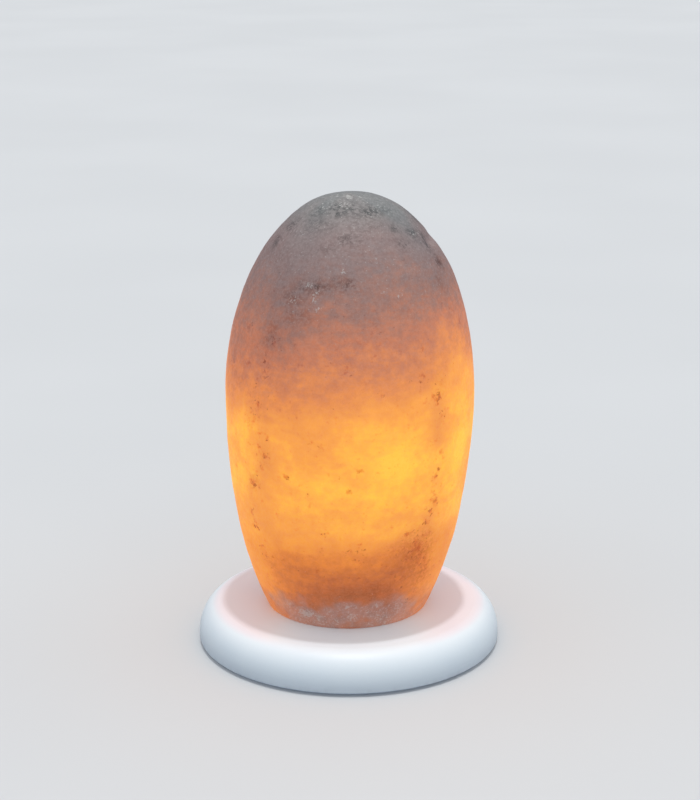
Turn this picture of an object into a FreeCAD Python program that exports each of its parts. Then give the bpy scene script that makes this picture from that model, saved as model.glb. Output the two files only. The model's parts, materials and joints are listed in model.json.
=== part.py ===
import FreeCAD, Part
import math
import os

# Salt crystal lamp: an egg-shaped rock salt crystal stands on a white disc base and is lit from inside
# by a small bulb. The bulb's holder is pushed up through the base into the crystal's bore, where two
# spring wings keep it. Millimetres, +Z up, +Y is the back. The origin is the middle of the floor.

# Fits
close_fit = 0.05            # radial play of pieces that are fitted together and stay so
moving_gap = 0.3            # between a moving piece and what it passes
past_face = 1.0             # how far a cut runs past the face that it opens

# Feet
pad_count = 4
pad_radius = 6.0
pad_thickness = 1.5
pad_chamfer = 0.4
pad_circle = 56.0           # radius of the circle that the pads' middles lie on

# Base
base_radius = 75.0
base_thickness = 18.0
rim_round_width = 12.0      # the bullnose rim is a quarter ellipse
rim_bottom_round = 0.8
rim_straight = 1.7          # upright stretch between the two roundings
recess_depth = 8.0          # pocket in the underside for the screw heads and the cord
recess_margin = 2.0         # from the washers to the pocket's wall
channel_width = 8.0         # the cord's way out to the back
channel_height = 6.5

# Crystal: two half-ellipses that meet at the widest height, turned about one axis
crystal_height = 206.5
crystal_radius = 60.4
crystal_widest = 107.3      # height of the widest place above the foot
crystal_foot_radius = 39.8
crystal_foot_round = 1.0
crystal_lean = 0.8          # degrees, towards +X
crystal_offset = -1.0       # of the foot's middle along X

# Bore for the holder and the bulb
bore_radius = 20.0
cavity_headroom = 14.5      # from the bulb's top, when it is unscrewed, to the dome's top

# Fixings of the crystal to the base
fixing_count = 3
fixing_circle = 30.0        # radius of the circle that the screws lie on
fixing_first_angle = 30.0   # degrees from +X, which leaves the back free for the cord
plug_radius = 3.0
plug_length = 25.0
plug_slot_width = 0.8
plug_solid_length = 8.0     # below the slot
screw_radius = 1.95
screw_length = 31.0
screw_tip_length = 4.0
screw_hole_play = 0.35
screw_head_radius = 3.75
screw_head_height = 2.4
screw_head_round = 1.0
cross_width = 0.9
cross_length = 4.4
cross_depth = 1.2
washer_radius = 6.0
washer_thickness = 1.0

# Lamp holder: a cap and a shell, screwed together around the contact block
cord_room = 15.0            # free height under the gland, where the cord bends into the channel
holder_radius = 14.0
holder_seam = 0.3
holder_edge_round = 2.5
cap_height = 20.0
cap_floor = 3.0
spigot_height = 8.0
spigot_wall = 1.2
wiring_ledge = 1.15         # step in the cap that the contact block sits on
shell_height = 29.7
shell_wall = 1.8
shell_rim = 3.0
rim_hole_play = 0.5
block_height = 16.0

# Edison thread of 14 mm
thread_pitch = 2.822
thread_core_radius = 6.145
thread_ridge_radius = 0.8
thread_turns = 4
unscrew_turns = 3.5
sleeve_play = 0.2           # from the bulb's thread to the sleeve's wall
sleeve_wall = 0.6
sleeve_ridge_radius = 0.5
sleeve_below_rim = 1.5
sleeve_flange_width = 4.0
sleeve_flange_inner = 5.5
sleeve_flange_thickness = 0.5

# Contacts and terminals
contact_depth = 19.0        # from the holder's rim down to the bulb's tip
tip_above_block = 2.0       # room for the leaf between the contact block and the bulb's tip
contact_play = 0.2          # between the leaf and the bulb's tip
leaf_thickness = 0.4
leaf_width = 3.0
leaf_flange_gap = 0.5       # from the leaf's foot to the sleeve's flange
leaf_bend = -2.0            # along X, where the leaf starts to rise
leaf_end = 2.5              # and its free end
terminal_wall_gap = 0.6     # from the outer terminal's head to the cap's wall
terminal_screw_radius = 1.4
terminal_head_radius = 2.2
terminal_head_height = 1.6
terminal_slot_width = 0.6
terminal_slot_depth = 0.7
plate_length = 4.4
plate_width = 6.0
plate_thickness = 0.8

# Cord gland and its nut
gland_bore_radius = 3.2
gland_thread_radius = 4.95
gland_thread_spare = 0.5    # of thread above the nut
gland_tail_radius = 5.6
gland_tail_length = 7.0
gland_flange_height = 3.0
gland_flats = 13.0
gland_nut_height = 2.5
gland_screw_radius = 1.45
gland_screw_height = 3.5    # above the tail's end
gland_screw_proud = 1.0
gland_screw_slot_width = 0.5
gland_screw_slot_depth = 0.8

# Spring clip round the holder
clip_thickness = 0.6
band_width = 8.0
band_above_seam = 12.0
band_gap = 3.0
lug_to_bore = 0.75          # room between the lugs' ends and the bore
clip_screw_radius = 1.0
clip_screw_spare = 0.6      # of shank past the nut
clip_head_radius = 1.9
clip_head_height = 1.3
clip_nut_flats = 4.0
clip_nut_height = 1.6
fold_radius = 0.85          # of the fold's middle line
fold_above_band = 1.0
wing_width = 8.0
wing_length = 21.5          # down to the knee
wing_lip_drop = 2.6
wing_lip_inset = 0.9

# Bulb
bulb_length = 57.0
bulb_radius = 13.0
bulb_neck_blend = 10.0
bulb_glass_wall = 0.8
bulb_cap_wall = 0.35
bulb_cap_upper_radius = 8.2
bulb_cap_upper_height = 3.0
bulb_cap_flare_height = 2.0
bulb_cap_flare_above_tip = 18.0
tip_radius = 2.4
tip_height = 1.2
tip_gap = 0.1
insulator_top_above_tip = 4.5
insulator_low_radius = 3.4
insulator_spigot_height = 1.5
thread_above_insulator = 1.0
stem_base_thickness = 1.0
stem_cone_height = 6.0
stem_radius = 2.4
stem_height = 17.0
lead_radius = 0.3
lead_spacing = 2.6
lead_straight = 2.0
filament_radius = 0.3
filament_length = 12.0
filament_below_top = 13.0

# Heights that follow, from the floor up
base_bottom = pad_thickness
base_top = base_bottom + base_thickness
recess_ceiling = base_bottom + recess_depth
screw_seat = recess_ceiling - washer_thickness
cap_bottom = cord_room + gland_tail_length + gland_flange_height
cap_top = cap_bottom + cap_height
shell_bottom = cap_top + holder_seam
rim_top = shell_bottom + shell_height
bulb_tip_bottom = rim_top - contact_depth
block_top = bulb_tip_bottom - tip_above_block
block_bottom = block_top - block_height
bulb_top = bulb_tip_bottom + bulb_length
insulator_top = bulb_tip_bottom + insulator_top_above_tip
thread_bottom = insulator_top + thread_above_insulator
cap_flare_low = bulb_tip_bottom + bulb_cap_flare_above_tip
cap_flare_high = cap_flare_low + bulb_cap_flare_height
glass_bottom = cap_flare_high + moving_gap
stem_top = glass_bottom + stem_height
filament_height = bulb_top - filament_below_top
unscrew_lift = thread_pitch * unscrew_turns
cavity_top = bulb_top + unscrew_lift + cavity_headroom
dome_middle = cavity_top - bore_radius
band_bottom = shell_bottom + band_above_seam
band_top = band_bottom + band_width
fold_height = band_top + fold_above_band

# Radii and other places that follow
recess_radius = fixing_circle + washer_radius + recess_margin
screw_hole_radius = screw_radius + screw_hole_play
rim_round_height = base_thickness - rim_bottom_round - rim_straight
spigot_radius = holder_radius - shell_wall - close_fit
block_radius = spigot_radius - spigot_wall - close_fit
wiring_radius = block_radius + close_fit - wiring_ledge
sleeve_terminal_x = wiring_radius - terminal_wall_gap - terminal_head_radius
leaf_foot_end = leaf_flange_gap - sleeve_flange_inner
leaf_terminal_x = leaf_foot_end + terminal_screw_radius
sleeve_inner = thread_core_radius + thread_ridge_radius + sleeve_play
sleeve_outer = sleeve_inner + sleeve_wall
rim_hole_radius = bulb_cap_upper_radius + rim_hole_play
neck_radius = bulb_cap_upper_radius - bulb_cap_wall - close_fit
band_inner = holder_radius + close_fit
band_outer = band_inner + clip_thickness
lug_reach = bore_radius - lug_to_bore - band_outer
lug_middle = band_outer + lug_reach / 2
fold_middle = band_outer - clip_thickness / 2 + fold_radius
wing_root = fold_middle + fold_radius
wing_top = fold_height - moving_gap
wing_knee = math.sqrt((bore_radius - moving_gap) ** 2 - (wing_width / 2) ** 2) - clip_thickness / 2

origin = FreeCAD.Vector(0, 0, 0)
to_right = FreeCAD.Vector(1, 0, 0)
to_back = FreeCAD.Vector(0, 1, 0)
upwards = FreeCAD.Vector(0, 0, 1)


def point(x, y, z):
    return FreeCAD.Vector(x, y, z)


def disc(radius, low, high, x=0.0, y=0.0):
    """Upright cylinder between two heights."""
    return Part.makeCylinder(radius, high - low, point(x, y, low), upwards)


def tube(outer, inner, low, high, x=0.0, y=0.0):
    """Upright tube between two heights."""
    return disc(outer, low, high, x, y).cut(disc(inner, low - past_face, high + past_face, x, y))


def block(x_low, x_high, y_low, y_high, z_low, z_high):
    """Box between its lowest and highest corners."""
    return Part.makeBox(x_high - x_low, y_high - y_low, z_high - z_low, point(x_low, y_low, z_low))


def hexagon(across_flats, low, high, x=0.0, y=0.0):
    """Upright hexagonal prism."""
    corner = across_flats / math.sqrt(3)
    turns = [math.radians(60 * side) for side in range(7)]
    corners = [point(x + corner * math.cos(turn), y + corner * math.sin(turn), low) for turn in turns]
    return Part.Face(Part.makePolygon(corners)).extrude(point(0, 0, high - low))


def turned(outline):
    """Solid turned about Z from the corners of its half section, each a radius and a height."""
    corners = [point(radius, 0, height) for radius, height in outline]
    return turned_edges([Part.makePolygon(corners + corners[:1])])


def turned_edges(edges):
    """Solid turned about Z from the closed half section that the edges make."""
    loop = Part.Wire(Part.__sortEdges__([edge for part in edges for edge in part.Edges]))
    return Part.Face(loop).revolve(origin, upwards, 360)


def line(start, end):
    """Straight edge of a half section, from one (radius, height) to another."""
    return Part.makeLine(point(start[0], 0, start[1]), point(end[0], 0, end[1]))


def arc(middle, radius, start, end):
    """Round edge of a half section; angles in degrees from outwards to upwards."""
    def at(angle):
        turn = math.radians(angle)
        return point(middle[0] + radius * math.cos(turn), 0, middle[1] + radius * math.sin(turn))
    return Part.Arc(at(start), at((start + end) / 2), at(end)).toShape()


def quarter_ellipse(middle, across, along):
    """Quarter ellipse of a half section, from its widest point to its pole; along is negative downwards."""
    centre = point(middle[0], 0, middle[1])
    side = point(middle[0] + across, 0, middle[1])
    pole = point(middle[0], 0, middle[1] + along)
    if abs(along) > across:
        return Part.Ellipse(pole, side, centre).toShape(0, math.pi / 2)
    return Part.Ellipse(side, pole, centre).toShape(0, math.pi / 2)


def cut_all(solid, tools):
    for tool in tools:
        solid = solid.cut(tool)
    return solid


def ring_places(count, radius, first_angle):
    """Evenly spaced (x, y) places on a circle about the lamp's axis."""
    turns = [math.radians(first_angle + 360 * step / count) for step in range(count)]
    return [(radius * math.cos(turn), radius * math.sin(turn)) for turn in turns]


def fixing_places():
    return ring_places(fixing_count, fixing_circle, fixing_first_angle)


def flat_edges(solid, height, radius):
    """The edges of a solid that lie at one height, at or outside a radius."""
    found = []
    for edge in solid.Edges:
        box = edge.BoundBox
        level = abs(box.ZMin - height) < 1e-6 and abs(box.ZMax - height) < 1e-6
        if level and box.XMax >= radius - 1e-6:
            found.append(edge)
    return found


def coil_ridge(radius, ridge_radius, bottom, turns):
    """Round thread ridge along a right-hand helix about the lamp's axis."""
    path = Part.makeHelix(thread_pitch, thread_pitch * turns, radius)
    path.translate(point(0, 0, bottom))
    rise = point(0, 2 * math.pi * radius, thread_pitch)
    section = Part.Wire(Part.Circle(point(radius, 0, bottom), rise, ridge_radius).toShape())
    return Part.Wire(path).makePipeShell([section], True, True)


# Base and feet

def base():
    """White disc with a bullnose rim, open in the middle, with a pocket and a cord channel underneath."""
    flat_radius = base_radius - rim_round_width
    rim_middle = base_top - rim_round_height
    round_middle = (base_radius - rim_bottom_round, base_bottom + rim_bottom_round)
    solid = turned_edges([
        line((0, base_bottom), (round_middle[0], base_bottom)),
        arc(round_middle, rim_bottom_round, -90, 0),
        line((base_radius, round_middle[1]), (base_radius, rim_middle)),
        quarter_ellipse((flat_radius, rim_middle), rim_round_width, rim_round_height),
        line((flat_radius, base_top), (0, base_top)),
        line((0, base_top), (0, base_bottom)),
    ])
    screw_holes = [disc(screw_hole_radius, base_bottom, base_top + past_face, x, y)
                   for x, y in fixing_places()]
    bore = disc(bore_radius, base_bottom - past_face, base_top + past_face)
    recess = disc(recess_radius, base_bottom - past_face, recess_ceiling)
    return cut_all(solid, [bore, recess, cord_channel()] + screw_holes)


def cord_channel():
    """Groove in the base's underside with a round roof, from the pocket out to the back."""
    half_width = channel_width / 2
    roof_middle = base_bottom + channel_height - half_width
    length = base_radius + past_face
    roof = Part.makeCylinder(half_width, length, point(0, 0, roof_middle), to_back)
    below = block(-half_width, half_width, 0, length, base_bottom - past_face, roof_middle)
    return roof.fuse(below)


def feet():
    """Rubber pads, placed between the pocket's wall and the rim, clear of the channel."""
    first_angle = 180 / pad_count
    pads = []
    for x, y in ring_places(pad_count, pad_circle, first_angle):
        pad = disc(pad_radius, 0, pad_thickness, x, y)
        lower_edge = flat_edges(pad, 0, x)
        pads.append(pad.makeChamfer(pad_chamfer, lower_edge))
    return Part.makeCompound(pads)


# Crystal and its fixings

def crystal():
    """Ground salt egg that leans a little, sawn flat at the foot and bored from below."""
    widest = base_top + crystal_widest
    upper = crystal_height - crystal_widest
    lower = crystal_widest / math.sqrt(1 - (crystal_foot_radius / crystal_radius) ** 2)
    egg = turned_edges([
        quarter_ellipse((0, widest), crystal_radius, upper),
        quarter_ellipse((0, widest), crystal_radius, -lower),
        line((0, widest - lower), (0, widest + upper)),
    ])
    egg.rotate(point(0, 0, base_top), to_back, crystal_lean)
    egg.translate(point(crystal_offset, 0, 0))
    reach = 2 * crystal_radius
    egg = egg.cut(block(-reach, reach, -reach, reach, base_top - 2 * lower, base_top))
    egg = egg.makeFillet(crystal_foot_round, flat_edges(egg, base_top, 0))
    hole_top = base_top + plug_length + close_fit
    plug_holes = [disc(plug_radius + close_fit, base_top - past_face, hole_top, x, y)
                  for x, y in fixing_places()]
    return cut_all(egg, [cavity()] + plug_holes)


def cavity():
    """Bore of one width with a domed end, so that the holder slides the whole way down."""
    straight = disc(bore_radius, base_top - past_face, dome_middle)
    return straight.fuse(Part.makeSphere(bore_radius, point(0, 0, dome_middle)))


def wall_plugs():
    """Nylon plugs in the salt, split above their lower end."""
    plugs = []
    plug_top = base_top + plug_length
    for x, y in fixing_places():
        plug = tube(plug_radius, screw_radius + close_fit, base_top, plug_top, x, y)
        slot = block(x - plug_slot_width / 2, x + plug_slot_width / 2, y - plug_radius, y + plug_radius,
                     base_top + plug_solid_length, plug_top + past_face)
        plugs.append(plug.cut(slot))
    return Part.makeCompound(plugs)


def fixing_screw(x, y):
    """Cross-recess pan-head screw, head down, with a pointed tip."""
    head_bottom = screw_seat - screw_head_height
    head = disc(screw_head_radius, head_bottom, screw_seat, x, y)
    head = head.makeFillet(screw_head_round, flat_edges(head, head_bottom, x))
    tip_low = screw_seat + screw_length - screw_tip_length
    shank = disc(screw_radius, screw_seat, tip_low, x, y)
    tip = Part.makeCone(screw_radius, screw_radius / 4, screw_tip_length, point(x, y, tip_low), upwards)
    long_half = cross_length / 2
    thin_half = cross_width / 2
    low = head_bottom - past_face
    high = head_bottom + cross_depth
    cross = [block(x - long_half, x + long_half, y - thin_half, y + thin_half, low, high),
             block(x - thin_half, x + thin_half, y - long_half, y + long_half, low, high)]
    return cut_all(head.fuse(shank).fuse(tip), cross)


def fixing_screws():
    return Part.makeCompound([fixing_screw(x, y) for x, y in fixing_places()])


def fixing_washers():
    return Part.makeCompound([tube(washer_radius, screw_hole_radius, screw_seat, recess_ceiling, x, y)
                              for x, y in fixing_places()])


# Lamp holder

def holder_cap():
    """Lower cup of the holder, with the gland's hole in its floor and a spigot that fits the shell."""
    cup = disc(holder_radius, cap_bottom, cap_top)
    cup = cup.makeFillet(holder_edge_round, flat_edges(cup, cap_bottom, 0))
    spigot_top = cap_top + spigot_height
    cup = cup.fuse(disc(spigot_radius, cap_top, spigot_top))
    return cut_all(cup, [
        disc(gland_thread_radius + close_fit, cap_bottom - past_face, cap_bottom + cap_floor + past_face),
        disc(wiring_radius, cap_bottom + cap_floor, block_bottom + past_face),
        disc(block_radius + close_fit, block_bottom, spigot_top + past_face),
    ])


def holder_shell():
    """Upper sleeve of the holder, closed by a rim that the bulb's cap passes through."""
    shell = disc(holder_radius, shell_bottom, rim_top)
    shell = shell.makeFillet(holder_edge_round, flat_edges(shell, rim_top, 0))
    return cut_all(shell, [
        disc(holder_radius - shell_wall, shell_bottom - past_face, rim_top - shell_rim),
        disc(rim_hole_radius, rim_top - shell_rim - past_face, rim_top + past_face),
    ])


def contact_block():
    """Ceramic block on the cap's ledge, drilled for the two terminal screws."""
    holes = [disc(terminal_screw_radius + close_fit, block_bottom - past_face, block_top + past_face, x)
             for x in (leaf_terminal_x, sleeve_terminal_x)]
    return cut_all(disc(block_radius, block_bottom, block_top), holes)


def screw_shell():
    """Brass sleeve with a rolled thread, on a flange that lies on the contact block."""
    flange_top = block_top + sleeve_flange_thickness
    flange = tube(sleeve_flange_inner + sleeve_flange_width, sleeve_flange_inner, block_top, flange_top)
    sleeve = tube(sleeve_outer, sleeve_inner, block_top, rim_top - sleeve_below_rim)
    ridge_bottom = thread_bottom - thread_pitch / 2
    ridge = coil_ridge(sleeve_inner, sleeve_ridge_radius, ridge_bottom, thread_turns)
    return sleeve.fuse(flange).fuse(ridge)


def centre_contact():
    """Bent brass leaf that rises from the block to just under the bulb's tip."""
    rise = bulb_tip_bottom - contact_play - leaf_thickness - block_top
    lower_side = [(leaf_foot_end, 0), (leaf_bend, 0), (leaf_bend + rise, rise), (leaf_end, rise)]
    upper_side = [(x, z + leaf_thickness) for x, z in reversed(lower_side)]
    corners = [point(x, -leaf_width / 2, block_top + z) for x, z in lower_side + upper_side]
    return Part.Face(Part.makePolygon(corners + corners[:1])).extrude(point(0, leaf_width, 0))


def terminal_plate(x):
    plate = block(x - plate_length / 2, x + plate_length / 2, -plate_width / 2, plate_width / 2,
                  block_bottom - plate_thickness, block_bottom)
    hole = disc(terminal_screw_radius + close_fit, block_bottom - 2 * plate_thickness, block_top, x)
    return plate.cut(hole)


def terminal_plates():
    return Part.makeCompound([terminal_plate(x) for x in (leaf_terminal_x, sleeve_terminal_x)])


def terminal_screw(x):
    """Slotted screw, head down, that reaches up through the block to its contact."""
    seat = block_bottom - plate_thickness
    head_bottom = seat - terminal_head_height
    head = disc(terminal_head_radius, head_bottom, seat, x)
    shank = disc(terminal_screw_radius, seat, block_top, x)
    slot = block(x - terminal_slot_width / 2, x + terminal_slot_width / 2, -terminal_head_radius,
                 terminal_head_radius, head_bottom - past_face, head_bottom + terminal_slot_depth)
    return head.fuse(shank).cut(slot)


def terminal_screws():
    return Part.makeCompound([terminal_screw(x) for x in (leaf_terminal_x, sleeve_terminal_x)])


def cord_gland():
    """Threaded cord inlet: a hexagon under the cap's floor, a thread through it and a tail below."""
    thread_top = cap_bottom + cap_floor + gland_nut_height + gland_thread_spare
    gland = disc(gland_tail_radius, cord_room, cap_bottom - gland_flange_height)
    gland = gland.fuse(hexagon(gland_flats, cap_bottom - gland_flange_height, cap_bottom))
    gland = gland.fuse(disc(gland_thread_radius, cap_bottom, thread_top))
    return cut_all(gland, [
        disc(gland_bore_radius, cord_room - past_face, thread_top + past_face),
        gland_screw_rod(gland_screw_radius + close_fit, gland_tail_radius + past_face),
    ])


def gland_screw_rod(radius, reach):
    """Round rod in the gland's tail, from its bore out to a distance in front of the axis."""
    start = gland_bore_radius
    height = cord_room + gland_screw_height
    return Part.makeCylinder(radius, reach - start, point(0, -start, height), -to_back)


def gland_nut():
    low = cap_bottom + cap_floor
    hole = disc(gland_thread_radius + close_fit, low - past_face, low + gland_nut_height + past_face)
    return hexagon(gland_flats, low, low + gland_nut_height).cut(hole)


def gland_screw():
    """Slotted clamping screw, backed off so that the bore is free."""
    end = gland_tail_radius + gland_screw_proud
    screw = gland_screw_rod(gland_screw_radius, end).cut(disc(gland_bore_radius + close_fit, 0, cap_bottom))
    height = cord_room + gland_screw_height
    slot = block(-gland_screw_radius, gland_screw_radius, -end - past_face, -end + gland_screw_slot_depth,
                 height - gland_screw_slot_width / 2, height + gland_screw_slot_width / 2)
    return screw.cut(slot)


# Spring clip

def clip_band():
    """Spring-steel band round the shell, with two lugs in front and a folded tab at each side."""
    band = tube(band_outer, band_inner, band_bottom, band_top)
    half_gap = band_gap / 2
    gap = block(-half_gap, half_gap, -2 * band_outer, 0, band_bottom - past_face, band_top + past_face)
    band = band.cut(gap)
    lug_back = -math.sqrt(band_inner ** 2 - half_gap ** 2)
    for low in (-half_gap - clip_thickness, half_gap):
        lug = block(low, low + clip_thickness, -band_outer - lug_reach, lug_back, band_bottom, band_top)
        band = band.fuse(lug.cut(disc(band_inner, band_bottom, band_top)))
    screw_hole = clip_rod(clip_screw_radius + close_fit, -band_outer, band_outer)
    band = band.cut(screw_hole)
    tab = clip_tab()
    return band.fuse(tab).fuse(tab.mirror(origin, to_right))


def clip_rod(radius, x_low, x_high):
    """Round rod across the lugs."""
    start = point(x_low, -lug_middle, (band_bottom + band_top) / 2)
    return Part.makeCylinder(radius, x_high - x_low, start, to_right)


def clip_tab():
    """Strip that rises from the band at +X and folds over outwards, where the wing bends."""
    half_width = wing_width / 2
    leg = block(band_outer - clip_thickness, band_outer, -half_width, half_width, band_bottom, fold_height)
    leg = leg.cut(disc(band_inner, band_bottom - past_face, band_top))
    start = point(fold_middle, -half_width, fold_height)
    fold = Part.makeCylinder(fold_radius + clip_thickness / 2, wing_width, start, to_back)
    fold = fold.cut(Part.makeCylinder(fold_radius - clip_thickness / 2, wing_width, start, to_back))
    upper_half = block(0, bore_radius, -wing_width, wing_width, fold_height, fold_height + bore_radius)
    return leg.fuse(fold.common(upper_half))


def clip_screw():
    """Pan-head screw through both lugs."""
    seat = band_gap / 2 + clip_thickness
    end = -seat - clip_nut_height - clip_screw_spare
    head = clip_rod(clip_head_radius, seat, seat + clip_head_height)
    return head.fuse(clip_rod(clip_screw_radius, end, seat))


def clip_nut():
    seat = band_gap / 2 + clip_thickness
    nut = hexagon(clip_nut_flats, 0, clip_nut_height)
    nut.rotate(origin, to_back, -90)
    nut.translate(point(-seat, -lug_middle, (band_bottom + band_top) / 2))
    return nut.cut(clip_rod(clip_screw_radius + close_fit, -band_outer, 0))


def clip_wing():
    """Leaf at +X, from the fold that it swings about down to a knee near the bore's wall and a lip."""
    path = [(wing_root, wing_top), (wing_knee, wing_top - wing_length),
            (wing_knee - wing_lip_inset, wing_top - wing_length - wing_lip_drop)]
    outside = [(x + clip_thickness / 2, z) for x, z in path]
    inside = [(x - clip_thickness / 2, z) for x, z in reversed(path)]
    corners = [point(x, -wing_width / 2, z) for x, z in outside + inside]
    return Part.Face(Part.makePolygon(corners + corners[:1])).extrude(point(0, wing_width, 0))


# Bulb

def bulb_solid(inset, bottom):
    """Pear-shaped solid: a neck that swells through a hollow curve into a ball, drawn in by inset."""
    neck = neck_radius - inset
    ball = bulb_radius - inset
    blend = bulb_neck_blend + inset
    ball_middle = bulb_top - bulb_radius
    drop = math.sqrt((ball + blend) ** 2 - (neck + blend) ** 2)
    blend_middle = (neck + blend, ball_middle - drop)
    slope = math.degrees(math.atan2(drop, neck + blend))
    return turned_edges([
        line((0, bottom), (neck, bottom)),
        line((neck, bottom), (neck, blend_middle[1])),
        arc(blend_middle, blend, 180, 180 - slope),
        arc((0, ball_middle), ball, -slope, 90),
        line((0, ball_middle + ball), (0, bottom)),
    ])


def bulb_glass():
    return bulb_solid(0, glass_bottom).cut(bulb_solid(bulb_glass_wall, glass_bottom - past_face))


def bulb_cap():
    """Thin metal cap with a rolled thread, flared at the top to hold the glass."""
    outside = [(thread_core_radius, insulator_top), (thread_core_radius, cap_flare_low),
               (bulb_cap_upper_radius, cap_flare_high),
               (bulb_cap_upper_radius, cap_flare_high + bulb_cap_upper_height)]
    inside = [(radius - bulb_cap_wall, height) for radius, height in reversed(outside)]
    ridge = coil_ridge(thread_core_radius, thread_ridge_radius, thread_bottom, thread_turns)
    return turned(outside + inside).fuse(ridge)


def bulb_insulator():
    """Black glass cone under the cap, with a spigot inside it."""
    spigot_radius_in_cap = thread_core_radius - thread_ridge_radius - close_fit
    low = bulb_tip_bottom + tip_height + tip_gap
    spigot_top = insulator_top + insulator_spigot_height
    return turned([(0, low), (insulator_low_radius, low), (thread_core_radius, insulator_top),
                   (spigot_radius_in_cap, insulator_top), (spigot_radius_in_cap, spigot_top),
                   (0, spigot_top)])


def bulb_tip():
    """Domed solder contact."""
    dome_radius = (tip_radius ** 2 + tip_height ** 2) / (2 * tip_height)
    ball = Part.makeSphere(dome_radius, point(0, 0, bulb_tip_bottom + dome_radius))
    return ball.common(disc(tip_radius, bulb_tip_bottom, bulb_tip_bottom + tip_height))


def bulb_stem():
    """Glass foot that closes the neck and rises in a slim column."""
    foot_radius = neck_radius - bulb_glass_wall - close_fit
    foot_top = glass_bottom + stem_base_thickness
    return turned([(0, glass_bottom), (foot_radius, glass_bottom), (foot_radius, foot_top),
                   (stem_radius, foot_top + stem_cone_height), (stem_radius, stem_top), (0, stem_top)])


def lead(side):
    """Wire that leaves the stem upright, spreads outwards and ends under the filament's end."""
    start = point(side * lead_spacing / 2, 0, stem_top)
    bend = start + point(0, 0, lead_straight)
    end = point(side * filament_length / 2, 0, filament_height - filament_radius - lead_radius)
    slant = end - bend
    wire = Part.makeCylinder(lead_radius, lead_straight, start, upwards)
    for ball_middle in (bend, end):
        wire = wire.fuse(Part.makeSphere(lead_radius, ball_middle))
    return wire.fuse(Part.makeCylinder(lead_radius, slant.Length, bend, slant))


def bulb_leads():
    return Part.makeCompound([lead(-1), lead(1)])


def bulb_filament():
    """The coiled wire's outer shape, a thin straight rod."""
    reach = filament_length / 2 + lead_radius
    return Part.makeCylinder(filament_radius, 2 * reach, point(-reach, 0, filament_height), to_right)


pieces = {
    "base": base(),
    "feet": feet(),
    "crystal": crystal(),
    "wall_plugs": wall_plugs(),
    "fixing_screws": fixing_screws(),
    "fixing_washers": fixing_washers(),
    "holder_cap": holder_cap(),
    "holder_shell": holder_shell(),
    "contact_block": contact_block(),
    "screw_shell": screw_shell(),
    "centre_contact": centre_contact(),
    "terminal_plates": terminal_plates(),
    "terminal_screws": terminal_screws(),
    "cord_gland": cord_gland(),
    "gland_nut": gland_nut(),
    "gland_screw": gland_screw(),
    "clip_band": clip_band(),
    "clip_screw": clip_screw(),
    "clip_nut": clip_nut(),
    "clip_wing_right": clip_wing(),
    "clip_wing_left": clip_wing().mirror(origin, to_right),
    "bulb_glass": bulb_glass(),
    "bulb_cap": bulb_cap(),
    "bulb_insulator": bulb_insulator(),
    "bulb_tip": bulb_tip(),
    "bulb_stem": bulb_stem(),
    "bulb_leads": bulb_leads(),
    "bulb_filament": bulb_filament(),
}

os.makedirs("parts", exist_ok=True)
for name, shape in pieces.items():
    shape.exportStep("parts/" + name + ".step")
    print(name, "solids", len(shape.Solids), "valid", shape.isValid(), "volume", round(shape.Volume, 2))

print("the bulb rises", round(unscrew_lift, 4), "as it unscrews, under a dome at", round(cavity_top, 2))
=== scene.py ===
import bpy
import bmesh
import json
import math
import numpy as np
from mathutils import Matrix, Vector, geometry, noise


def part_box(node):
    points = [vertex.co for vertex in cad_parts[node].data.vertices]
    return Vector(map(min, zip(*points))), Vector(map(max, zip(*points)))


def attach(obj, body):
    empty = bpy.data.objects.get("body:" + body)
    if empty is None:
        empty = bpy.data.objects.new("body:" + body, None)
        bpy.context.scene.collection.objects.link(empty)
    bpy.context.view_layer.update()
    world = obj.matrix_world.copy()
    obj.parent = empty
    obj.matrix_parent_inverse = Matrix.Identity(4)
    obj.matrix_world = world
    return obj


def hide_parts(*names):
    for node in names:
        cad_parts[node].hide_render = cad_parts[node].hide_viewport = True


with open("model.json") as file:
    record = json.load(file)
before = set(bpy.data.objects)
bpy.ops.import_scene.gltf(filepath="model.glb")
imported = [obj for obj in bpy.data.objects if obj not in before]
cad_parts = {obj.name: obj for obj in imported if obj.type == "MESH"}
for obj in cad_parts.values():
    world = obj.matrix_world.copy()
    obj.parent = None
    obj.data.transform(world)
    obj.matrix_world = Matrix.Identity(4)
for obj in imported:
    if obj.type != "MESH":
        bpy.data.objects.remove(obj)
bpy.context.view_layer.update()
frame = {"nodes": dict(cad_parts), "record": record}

# Looks of a salt crystal lamp, in metres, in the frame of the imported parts: +Z up, +Y the back.
# Azimuths are degrees round the crystal's axis from the front (-Y), positive towards the right (+X).

nodes = frame["nodes"]
mm = 0.001

# Crystal, the same form as its solid: two half-ellipses that meet at the widest height
foot_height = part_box("crystal")[0].z
crystal_height = 206.5 * mm
crystal_radius = 60.4 * mm
widest_height = foot_height + 107.3 * mm
foot_radius = 39.8 * mm
foot_round = 1.0 * mm
lean = math.radians(0.8)
crystal_offset = -1.0 * mm
crystal_top = foot_height + crystal_height
upper_half = crystal_top - widest_height
lower_half = (widest_height - foot_height) / math.sqrt(1 - (foot_radius / crystal_radius) ** 2)

# Its bore and its holes for the wall plugs, the same as in the solid
bore_radius = 20.0 * mm
bore_top = 137.38 * mm
plug_hole_radius = 3.05 * mm
plug_hole_depth = 25.05 * mm
plug_circle = 30.0 * mm
plug_angles = (30, 150, 270)            # degrees from +X towards +Y

# Counts of vertices and rows in the crystal's mesh
around = 360
wall_rows = 236
corner_rows = 5
outline_samples = 2000
bore_around = 90
bore_rows = 24
dome_rows = 13
plug_around = 24
sharp_angle = math.radians(50)

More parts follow.
